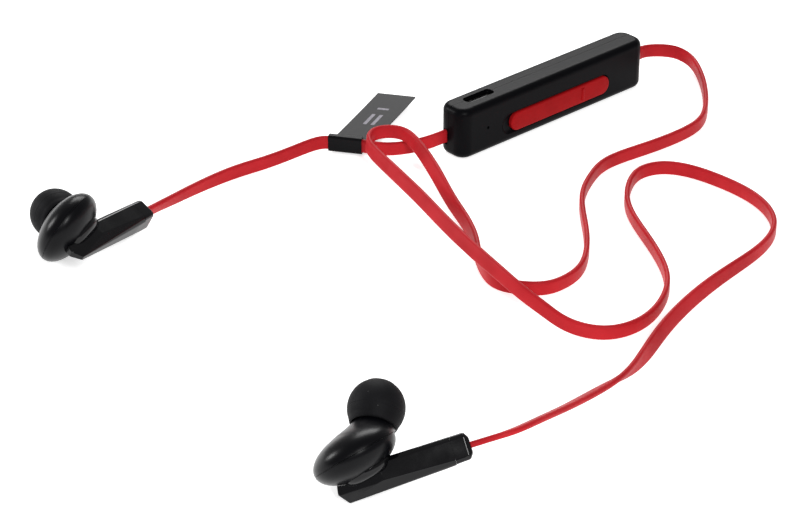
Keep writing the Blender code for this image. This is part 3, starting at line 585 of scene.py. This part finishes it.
# Heights along the nozzle's axis from the tip's middle, and the shoulder's cone.
SHOULDER_TOP = -2.8
SHOULDER_FOOT = -7.4
SHOULDER_RADIUS = 3.35
SHOULDER_SLOPE = 0.44
SHOULDER_COSINE = 0.91
SHOULDER_BLEND = 1.6
NOZZLE_FOOT = -5.0
NOZZLE_BLEND = 0.5
ROOT_DEPTH = 8.4                    # where the rays that find the skin start, below the tip
FARTHEST = 18.0
HALVINGS = 40
REAR_LIP = [(BULB_RADIUS - 0.05, -SEAM_HALF), (7.4, -SEAM_HALF), (7.35, 0.6), (6.95, 0.62)]
ON_AXIS = 1e-6                      # a lathed point with a smaller radius closes to one vertex
# Bulb centre in millimetres, then roll, pitch and heading of the stem under it, in degrees.
EARPIECES = {
    "left": (Vector((-118.4, 18.7, 7.5)), (-62.3, 6.6, 13.6)),
    "right": (Vector((-128.3, -82.5, 7.15)), (-35.5, -14.2, -31.9)),
}


def blended(first, second, reach):
    """The nearer of two distances, rounded where they meet."""
    mix = np.clip(0.5 + 0.5 * (second - first) / reach, 0.0, 1.0)
    return second * (1 - mix) + first * mix - reach * mix * (1 - mix)


def front_distance(points):
    """Distance in millimetres from the bulb, its shoulder and its nozzle, all blended."""
    lean = np.array(Matrix.Rotation(-BULB_LEAN, 3, "Y"))
    in_bulb = points @ lean
    radii = np.array((BULB_RADIUS, BULB_RADIUS, BULB_HALF_HEIGHT))
    near = np.linalg.norm(in_bulb / radii, axis=-1)
    slope = np.linalg.norm(in_bulb / radii ** 2, axis=-1)
    bulb = near * (near - 1) / slope
    axis = np.array(NOZZLE_AXIS)
    reach = points - np.array(TIP_CENTRE)
    along = reach @ axis
    off = np.linalg.norm(reach - along[..., None] * axis, axis=-1)
    cone = (off - (SHOULDER_RADIUS + (SHOULDER_TOP - along) * SHOULDER_SLOPE)) * SHOULDER_COSINE
    shoulder = np.maximum(cone, np.maximum(along - SHOULDER_TOP, SHOULDER_FOOT - along))
    nozzle = np.maximum(off - NOZZLE_RADIUS, np.maximum(along - NOZZLE_REACH, NOZZLE_FOOT - along))
    return blended(blended(bulb, shoulder, SHOULDER_BLEND), nozzle, NOZZLE_BLEND)


def swept_front(name, steps=112):
    """The front housing's skin, found along rays from a point under the nozzle."""
    root = np.array(TIP_CENTRE - NOZZLE_AXIS * ROOT_DEPTH)
    across = NOZZLE_AXIS.orthogonal().normalized()
    other = NOZZLE_AXIS.cross(across)
    mouth = math.degrees(math.atan(NOZZLE_RADIUS / (ROOT_DEPTH + NOZZLE_REACH)))
    # Angles from the axis, in degrees: close together at the mouth and down the shoulder.
    falls = [mouth + 0.02, mouth + 0.25, mouth + 0.6, mouth + 1.2]
    falls += [15, 16.5, 18, 19.5, 21, 22.5, 24, 26, 28]
    falls += list(np.arange(30, 152, 2.6))
    falls = np.radians(falls)[:, None]
    turns = np.linspace(0, 2 * math.pi, steps, endpoint=False)[None, :]
    rays = (np.cos(falls)[..., None] * np.array(NOZZLE_AXIS)
            + np.sin(falls)[..., None] * (np.cos(turns)[..., None] * np.array(across)
                                          + np.sin(turns)[..., None] * np.array(other)))
    inner, outer = np.zeros(rays.shape[:2]), np.full(rays.shape[:2], FARTHEST)
    for _ in range(HALVINGS):
        middle = (inner + outer) / 2
        inside = front_distance(root + rays * middle[..., None]) < 0
        inner, outer = np.where(inside, middle, inner), np.where(inside, outer, middle)
    skin = root + rays * inner[..., None]
    cage = bmesh.new()
    rings = [[cage.verts.new(point) for point in ring] for ring in skin]
    for upper, lower in zip(rings, rings[1:]):
        for i in range(steps):
            j = (i + 1) % steps
            cage.faces.new((upper[i], lower[i], lower[j], upper[j]))
    up = Matrix.Rotation(-BULB_LEAN, 3, "Y") @ Vector((0, 0, 1))
    everything = cage.verts[:] + cage.edges[:] + cage.faces[:]
    bmesh.ops.bisect_plane(cage, geom=everything, plane_co=up * SEAM_HALF, plane_no=up,
                           clear_inner=True)
    cage.normal_update()
    return put_in(name, cage)


def lathe(name, profile, matrix, steps=96):
    """A closed profile of (radius, height) in millimetres turned about Z and put in place."""
    cage = bmesh.new()
    rings = []
    for radius, height in profile:
        if radius < ON_AXIS:
            rings.append([cage.verts.new((0, 0, height))] * steps)
        else:
            rings.append([cage.verts.new((radius * math.cos(2 * math.pi * i / steps),
                                          radius * math.sin(2 * math.pi * i / steps), height))
                          for i in range(steps)])
    pairs = list(zip(rings, rings[1:] + rings[:1]))
    if profile[0][0] < ON_AXIS and profile[-1][0] < ON_AXIS:
        pairs = pairs[:-1]
    for first, second in pairs:
        for i in range(steps):
            j = (i + 1) % steps
            corners = []
            for vertex in (first[i], first[j], second[j], second[i]):
                if vertex not in corners:
                    corners.append(vertex)
            if len(corners) > 2:
                cage.faces.new(corners)
    bmesh.ops.recalc_face_normals(cage, faces=cage.faces)
    cage.transform(matrix)
    return put_in(name, cage)


def arc(radius, height, start, end, count):
    """Points on an ellipse between two angles in degrees."""
    return [(max(radius * math.cos(a), 0.0), height * math.sin(a))
            for a in np.radians(np.linspace(start, end, count))]


bulb_finish = moulded_abs("stone_polished_black_abs", 0.11, 0.25, 0.33)
ears = {}
for ear_name, (centre, turn) in EARPIECES.items():
    spin = Euler([math.radians(angle) for angle in turn]).to_matrix().to_4x4()
    in_ear = Matrix.Scale(MM, 4) @ Matrix.Translation(centre) @ spin
    in_bulb = in_ear @ Matrix.Rotation(-BULB_LEAN, 4, "Y")
    up_nozzle = NOZZLE_AXIS.to_track_quat("Z", "Y").to_matrix().to_4x4()
    on_nozzle = in_ear @ Matrix.Translation(TIP_CENTRE) @ up_nozzle
    ears[ear_name] = (in_ear, in_bulb, on_nozzle)

    front = swept_front(ear_name + "_bulb_front")
    front.data.transform(in_ear)
    wall = front.modifiers.new("wall", "SOLIDIFY")
    wall.thickness = BULB_WALL * MM
    wall.offset = -1.0
    flatten(front)
    complete(front, bulb_finish, "earphones", "satin_black_abs", ear_name + "_front_housing")

    rim_angle = -math.degrees(math.asin(SEAM_HALF / BULB_HALF_HEIGHT))
    inside = arc(BULB_RADIUS - BULB_WALL, BULB_HALF_HEIGHT - BULB_WALL, -23, -90, 20)
    rear = lathe(ear_name + "_bulb_rear",
                 arc(BULB_RADIUS, BULB_HALF_HEIGHT, -90, rim_angle - 0.6, 34) + REAR_LIP + inside, in_bulb)
    complete(rear, bulb_finish, "earphones", "satin_black_abs", ear_name + "_back_housing")

# Silicone ear tips -------------------------------------------------------------------
# Liquid silicone, moulded in one shot: a thin dome that rolls back from the mouth to a
# free skirt, on a core that grips the nozzle. Its dull skin holds a little dust, and a
# faint line runs round it where the mould parts.
TIP_RADIUS = 5.3
PARTING = -12.0                     # the mould line, in degrees round from the widest ring
PARTING_DEPTH = 0.035
DOME_POWER = 0.9                    # below 1, the dome is a little fuller than a ball
# Radius and height in millimetres, round the mouth, the skirt's edge and the underside.
MOUTH_LIP = [(1.95, 4.5), (2.05, 4.68), (2.3, 4.8), (2.62, 4.78), (2.86, 4.66)]
SKIRT_RIM = [(4.56, -3.0), (4.4, -3.42), (4.22, -3.66), (4.06, -3.72), (3.92, -3.62)]
UNDERSIDE = [(4.15, -2.4), (4.42, -1.2), (4.5, 0.0), (4.3, 1.2), (3.85, 2.2), (3.4, 2.75), (3.2, 2.8),
             (3.08, 2.6), (3.08, -2.45), (2.95, -2.6), (2.55, -2.6), (2.42, -2.45), (2.42, 2.3),
             (2.2, 2.55), (1.95, 2.7)]


def moulded_silicone():
    """Black silicone: matte, a little cloudy, and dusted with pale specks."""
    made, tree, shader, place = new_finish("moulded_black_silicone", IOR=1.43, Specular_IOR_Level=0.1)
    haze = add_node(tree, "ShaderNodeTexNoise", {"Scale": per_mm(3.5), "Detail": 4.0}, {"Vector": place})
    # Dust specks about 0.15 mm across, one every 1.6 mm or so, and not in every cell.
    dust = add_node(tree, "ShaderNodeTexVoronoi", {"Scale": per_mm(1.6), "Randomness": 1.0},
                    {"Vector": place})
    speck = add_node(tree, "ShaderNodeMath", {"operation": "LESS_THAN", 1: 0.05},
                     {0: dust.outputs["Distance"]})
    chance = add_node(tree, "ShaderNodeSeparateColor", links={"Color": dust.outputs["Color"]})
    some = add_node(tree, "ShaderNodeMath", {"operation": "GREATER_THAN", 1: 0.7},
                    {0: chance.outputs["Red"]})
    shown = add_node(tree, "ShaderNodeMath", {"operation": "MULTIPLY"},
                     {0: speck.outputs["Value"], 1: some.outputs["Value"]})
    mixed = add_node(tree, "ShaderNodeMix", {"data_type": "RGBA"}, {"Factor": shown.outputs["Value"]})
    two_shades(tree, mixed.inputs["A"], haze.outputs["Fac"], "#101012", "#18181A", 0.3, 0.75)
    mixed.inputs["B"].default_value = linear("#5A5A58")
    tree.links.new(mixed.outputs["Result"], shader.inputs["Base Color"])
    skin = add_node(tree, "ShaderNodeTexNoise", {"Scale": per_mm(0.35), "Detail": 3.0}, {"Vector": place})
    uneven_skin(tree, shader, skin.outputs["Fac"], 0.52, 0.68, 0.15, 0.03)
    return made


silicone = moulded_silicone()
for ear_name, (_, _, on_nozzle) in ears.items():
    dome = []
    for step in (*np.linspace(57, PARTING + 2, 28), PARTING + 0.6, PARTING, PARTING - 0.6,
                 *np.linspace(PARTING - 2, -30, 10)):
        angle = math.radians(step)
        line = PARTING_DEPTH if step == PARTING else 0.0
        dome.append((TIP_RADIUS * math.cos(angle) ** DOME_POWER - line, TIP_RADIUS * math.sin(angle)))
    tip = lathe(ear_name + "_tip", MOUTH_LIP + dome + SKIRT_RIM + UNDERSIDE, on_nozzle)
    complete(tip, silicone, ear_name + "_tip", "black_silicone", ear_name + "_ear_tip", crease=50)

# Stems -------------------------------------------------------------------------------
# A polished black bar with flat facets under each bulb: a wedge nose, a keel that fades
# towards the cord, and a collar that holds the bulb. A separate cap closes the end round
# the ribbon, so a fine joint shows near it.
STEM_HALF_WIDTH = 2.4
STEM_END_X = 20.2
STEM_JOINT_X = 16.8
STEM_CORD_Z = -4.4
FACET_EDGE = 0.26
JOINT_HALF = 0.02
CAP_OVERLAP = 1.2                   # the cap starts this far inside, then is cut flat at the joint
COLLAR_PLACE = (0.6, 0, 0)
COLLAR = [(0, -5.0), (3.2, -5.0), (3.75, -4.86), (4.25, -4.55), (4.62, -4.1), (4.8, -3.6), (4.82, -3.2),
          (0, -3.2)]
SEAT_GAP = 0.06
POCKET_LOW = Vector((STEM_JOINT_X - 1.1, -1.75, -6.0))
POCKET_HIGH = Vector((STEM_JOINT_X + 1.0, 1.75, -2.7))
SPIGOT_SLACK = Vector((0.06, 0.06, 0.06))
RIBBON_SLACK = Vector((0, 0.15, 0.15))
RIBBON_SLOT_HALF = Vector((2.4, 0, 0))


def polished_abs():
    """Black ABS from a polished mould: piano gloss with a hint of flow and fingerprints."""
    made, tree, shader, place = new_finish("polished_black_abs", IOR=1.54, Specular_IOR_Level=0.25)
    touched = add_node(tree, "ShaderNodeTexNoise", {"Scale": per_mm(4), "Detail": 5.0}, {"Vector": place})
    two_shades(tree, shader.inputs["Base Color"], touched.outputs["Fac"], "#050507", "#09090B")
    gloss = add_node(tree, "ShaderNodeMapRange", {"From Min": 0.35, "From Max": 0.75, "To Min": 0.09,
                                                  "To Max": 0.2}, {"Value": touched.outputs["Fac"]})
    tree.links.new(gloss.outputs["Result"], shader.inputs["Roughness"])
    flow = add_node(tree, "ShaderNodeTexNoise", {"Scale": per_mm(5), "Detail": 1.0}, {"Vector": place})
    bump = add_node(tree, "ShaderNodeBump", {"Strength": 0.05, "Distance": 0.05 * MM},
                    {"Height": flow.outputs["Fac"]})
    tree.links.new(bump.outputs["Normal"], shader.inputs["Normal"])
    return made


def faceted(name, corners, edge, matrix):
    """A convex faceted solid through its corners, its edges rounded off."""
    cage = bmesh.new()
    for corner in corners:
        cage.verts.new(corner)
    bmesh.ops.convex_hull(cage, input=cage.verts)
    bmesh.ops.dissolve_limit(cage, angle_limit=math.radians(1.0), verts=cage.verts, edges=cage.edges)
    bmesh.ops.recalc_face_normals(cage, faces=cage.faces)
    bmesh.ops.bevel(cage, geom=cage.edges[:], offset=edge, segments=3, profile=0.5, affect="EDGES",
                    clamp_overlap=True)
    cage.transform(matrix)
    return put_in(name, cage)


def local_block(name, low, high, matrix, rounding=0.02):
    """A block given in an earpiece's own millimetres, put in place."""
    made = rounded_block(name, low, high, rounding, 3)
    made.data.transform(matrix)
    return made


gloss_finish = polished_abs()
for ear_name, (in_ear, in_bulb, _) in ears.items():
    w = STEM_HALF_WIDTH
    cap_x = STEM_JOINT_X - CAP_OVERLAP
    bar, cap = [], []
    for y in (-1, 1):
        bar += [(STEM_END_X, y * w, -2.6), (STEM_END_X, y * w, -6.4), (STEM_END_X, y * (w - 0.7), -1.9),
                (STEM_END_X, y * (w - 0.5), -6.9), (3.2, y * w, -2.9), (3.8, y * w, -5.9),
                (4.0, y * (w - 0.7), -2.0), (-4.6, y * 0.9, -4.2), (-4.9, y * 0.7, -6.0),
                (-3.3, y * 0.5, -8.0), (14.5, y * 1.2, -7.3)]
        cap += [(cap_x, y * w, -2.64), (cap_x, y * w, -6.35), (cap_x, y * (w - 0.7), -1.93),
                (cap_x, y * (w - 0.5), -7.1), (19.5, y * w, -2.6), (19.5, y * w, -6.3),
                (19.5, y * (w - 0.7), -1.9), (19.5, y * (w - 0.5), -6.9),
                (STEM_END_X, y * (w - 0.6), -3.0), (STEM_END_X, y * (w - 0.6), -5.9)]
    stem = faceted(ear_name + "_stem_bar", bar, FACET_EDGE, in_ear)
    collar = lathe("collar", COLLAR, in_bulb @ Matrix.Translation(COLLAR_PLACE), steps=72)
    shape(stem, collar, "UNION")
    seat = lathe("seat", arc(BULB_RADIUS + SEAT_GAP, BULB_HALF_HEIGHT + SEAT_GAP, 90, -90, 60), in_bulb)
    shape(stem, seat)
    shape(stem, local_block("cap_room", (STEM_JOINT_X - JOINT_HALF, -6, -12), (24, 6, 2), in_ear))
    shape(stem, local_block("pocket", POCKET_LOW, POCKET_HIGH, in_ear))
    complete(stem, gloss_finish, "earphones", "gloss_black_abs", ear_name + "_stem")

    end_cap = faceted(ear_name + "_stem_cap", cap, FACET_EDGE, in_ear)
    shape(end_cap, local_block("stem_room", (0, -6, -12), (STEM_JOINT_X + JOINT_HALF, 6, 2), in_ear))
    shape(end_cap, local_block("spigot", POCKET_LOW + SPIGOT_SLACK, POCKET_HIGH - SPIGOT_SLACK, in_ear),
          "UNION")
    ribbon_room = Vector((0, CORD_WIDTH / 2, CORD_THICKNESS / 2)) / MM + RIBBON_SLACK + RIBBON_SLOT_HALF
    middle = Vector((STEM_END_X, 0, STEM_CORD_Z))
    shape(end_cap, local_block("ribbon_slot", middle - ribbon_room, middle + ribbon_room, in_ear, 0.3))
    complete(end_cap, gloss_finish, "earphones", "gloss_black_abs", ear_name + "_stem_end_cap")

# Wrapped label -----------------------------------------------------------------------
# A strip of laminated black film folded round the short cord and stuck to itself, so its
# free end lies back on the table as a flag. Its print is plain pale bars with no words.
FILM_THICKNESS = 0.15
LABEL_SPOT = Vector((-45.0, 16.6, 2.25))
LABEL_HEADING = math.radians(-55.0)
LABEL_SKEW = math.radians(-11.0)
LABEL_WIDTH = 7.6
FLAG_WIDTH = 8.9
FLAG_REACH = 28.0
FLAG_START = 2.2
FLAG_ROWS = 26
FLAG_CURL = 0.55                    # how far the flag's free end lifts
HINGE = 1.2                         # how far from the cord the flag starts to lean over
FLARE = 2.0                         # how far past the hinge it reaches its full width
LABEL_COLUMNS = 10
# Each bar's middle and half size along the flag, then across it, in millimetres.
PRINTED_BARS = [(15.0, 2.6, 0.9, 0.4), (15.0, 2.6, -0.9, 0.4), (20.5, 0.4, 0.0, 1.3)]


def laminated_film():
    """Black polyester film under a clear laminate, printed with pale grey bars."""
    made, tree, shader, place = new_finish("laminated_black_film", IOR=1.57, Specular_IOR_Level=0.06,
                                           Roughness=0.36)
    along = add_node(tree, "ShaderNodeUVMap", {"uv_map": "film"})
    parts = add_node(tree, "ShaderNodeSeparateXYZ", links={"Vector": along.outputs["UV"]})
    print_mask = None
    for middle_u, half_u, middle_v, half_v in PRINTED_BARS:
        pair = []
        for source, middle_at, half_at in (("X", middle_u, half_u), ("Y", middle_v, half_v)):
            off = add_node(tree, "ShaderNodeMath", {"operation": "SUBTRACT", 1: middle_at},
                           {0: parts.outputs[source]})
            size = add_node(tree, "ShaderNodeMath", {"operation": "ABSOLUTE"}, {0: off.outputs["Value"]})
            pair.append(add_node(tree, "ShaderNodeMath", {"operation": "LESS_THAN", 1: half_at},
                                 {0: size.outputs["Value"]}))
        bar_mask = add_node(tree, "ShaderNodeMath", {"operation": "MULTIPLY"},
                            {0: pair[0].outputs["Value"], 1: pair[1].outputs["Value"]})
        if print_mask is None:
            print_mask = bar_mask
        else:
            print_mask = add_node(tree, "ShaderNodeMath", {"operation": "MAXIMUM"},
                                  {0: print_mask.outputs["Value"], 1: bar_mask.outputs["Value"]})
    worn = add_node(tree, "ShaderNodeTexNoise", {"Scale": per_mm(0.5), "Detail": 4.0}, {"Vector": place})
    ink = add_node(tree, "ShaderNodeMapRange", {"From Min": 0.2, "From Max": 0.6, "To Min": 0.55},
                   {"Value": worn.outputs["Fac"]})
    shown = add_node(tree, "ShaderNodeMath", {"operation": "MULTIPLY"},
                     {0: print_mask.outputs["Value"], 1: ink.outputs["Result"]})
    mixed = add_node(tree, "ShaderNodeMix", {"data_type": "RGBA"}, {"Factor": shown.outputs["Value"]})
    mixed.inputs["A"].default_value = linear("#0A0A0C")
    mixed.inputs["B"].default_value = linear("#8E8B94")
    tree.links.new(mixed.outputs["Result"], shader.inputs["Base Color"])
    cockle = add_node(tree, "ShaderNodeTexNoise", {"Scale": per_mm(6), "Detail": 1.0}, {"Vector": place})
    bump = add_node(tree, "ShaderNodeBump", {"Strength": 0.1, "Distance": 0.1 * MM},
                    {"Height": cockle.outputs["Fac"]})
    tree.links.new(bump.outputs["Normal"], shader.inputs["Normal"])
    return made


def film_run():
    """The strip's section across the cord, as (distance out from it, height)."""
    flag_low = [(out, -1.3) for out in np.linspace(FLAG_REACH, FLAG_START, FLAG_ROWS)]
    half_x, half_z, corner = 0.86, 1.85, 0.5
    around = [(half_x + 0.25, -1.45), (half_x - 0.1, -half_z + 0.1), (half_x - 0.4, -half_z)]
    around += [(-half_x + corner, -half_z)]
    for start, (cx, cz) in ((270, (-1, -1)), (180, (-1, 1)), (90, (1, 1))):
        for step in (0, 22.5, 45, 67.5, 90):
            a = math.radians(start - step)
            around.append((cx * (half_x - corner) + corner * math.cos(a),
                           cz * (half_z - corner) + corner * math.sin(a)))
    around += [(half_x, 0.0), (half_x, -0.6), (half_x + 0.15, -0.95), (half_x + 0.5, -1.08)]
    flag_high = [(out, -1.13) for out in np.linspace(FLAG_START, FLAG_REACH, FLAG_ROWS)]
    return flag_low + around + flag_high


cage = bmesh.new()
film_uv = cage.loops.layers.uv.new("film")
grid = []
for out, height in film_run():
    beyond = max(out - HINGE, 0.0)
    curl = FLAG_CURL * (beyond / FLAG_REACH) ** 2
    share = min(beyond / FLARE, 1.0)
    width = LABEL_WIDTH + (FLAG_WIDTH - LABEL_WIDTH) * share
    lines = []
    for column in range(LABEL_COLUMNS + 1):
        side = (column / LABEL_COLUMNS - 0.5) * width
        vertex = cage.verts.new((side - math.sin(LABEL_SKEW) * beyond,
                                 out if beyond <= 0 else HINGE + beyond * math.cos(LABEL_SKEW),
                                 height + curl))
        lines.append((vertex, out, side))
    grid.append(lines)
for row_a, row_b in zip(grid, grid[1:]):
    for a, b in zip(range(LABEL_COLUMNS), range(1, LABEL_COLUMNS + 1)):
        corners = (row_a[a], row_a[b], row_b[b], row_b[a])
        face = cage.faces.new([corner[0] for corner in corners])
        for loop, corner in zip(face.loops, corners):
            loop[film_uv].uv = (corner[1], corner[2])
cage.normal_update()
cage.transform(Matrix.Scale(MM, 4) @ Matrix.Translation(LABEL_SPOT)
               @ Matrix.Rotation(LABEL_HEADING, 4, "Z"))
label = put_in("wrapped_label", cage)
film = label.modifiers.new("film", "SOLIDIFY")
film.thickness = FILM_THICKNESS * MM
film.offset = 0.0
flatten(label)
complete(label, laminated_film(), "earphones", "black_label_film", "cord_label")

# Floor and light ---------------------------------------------------------------------
# A pale, seamless paper sweep that glows a little, as if lit from below. A wide softbox
# stands behind the set, two small ones leave the oval highlights on the bulbs, and a
# little lamp beside the camera picks out the stems' edges.
PAPER_DROP = 0.0002                 # keeps the paper clear of the cords' lowest edges
SOFTBOXES = [
    # name, place, what it faces, width and height in metres, power in watts
    ("rear_softbox", (0.375, 0.483, 0.49), (-0.03, -0.02, 0.0), (0.5, 0.35), 4.0),
    ("left_softbox", (-0.454, 0.526, 0.262), (-0.12, -0.03, 0.01), (0.15, 0.22), 2.2),
    ("right_softbox", (-0.295, -0.537, 0.45), (-0.12, -0.03, 0.01), (0.15, 0.22), 2.4),
    ("edge_lamp", (-0.52, -0.36, 0.33), (-0.12, -0.08, 0.01), (0.03, 0.05), 0.25),
]

cards = bpy.data.meshes.new("paper_sweep")
cards.from_pydata([(-6, -6, 0), (6, -6, 0), (6, 6, 0), (-6, 6, 0)], [], [(0, 1, 2, 3)])
sweep = bpy.data.objects.new("paper_sweep", cards)
bpy.context.scene.collection.objects.link(sweep)
sweep.location.z = -PAPER_DROP
paper, paper_tree, paper_shader, paper_place = new_finish(
    "white_paper", Base_Color=linear("#F8F8F8"), Roughness=0.9, Emission_Color=linear("#FFFFFF"),
    Emission_Strength=0.62)
fibre = add_node(paper_tree, "ShaderNodeTexNoise", {"Scale": per_mm(0.8), "Detail": 2.0},
                 {"Vector": paper_place})
tooth = add_node(paper_tree, "ShaderNodeBump", {"Strength": 0.02, "Distance": 0.02 * MM},
                 {"Height": fibre.outputs["Fac"]})
paper_tree.links.new(tooth.outputs["Normal"], paper_shader.inputs["Normal"])
cards.materials.append(paper)


def softbox(name, place, target, size, power):
    """A rectangular lamp at a place, turned to face a target."""
    lamp = bpy.data.lights.new(name, "AREA")
    lamp.shape = "RECTANGLE"
    lamp.size, lamp.size_y = size
    lamp.energy = power
    made = bpy.data.objects.new(name, lamp)
    bpy.context.scene.collection.objects.link(made)
    made.location = place
    made.rotation_euler = (Vector(target) - Vector(place)).to_track_quat("-Z", "Y").to_euler()


for lamp_settings in SOFTBOXES:
    softbox(*lamp_settings)
world = bpy.data.worlds.new("studio_white")
world.use_nodes = True
world.node_tree.nodes["Background"].inputs["Color"].default_value = linear("#FFFFFF")
world.node_tree.nodes["Background"].inputs["Strength"].default_value = 0.34
bpy.context.scene.world = world
bpy.context.scene.view_settings.view_transform = "Standard"

bpy.context.view_layer.update()
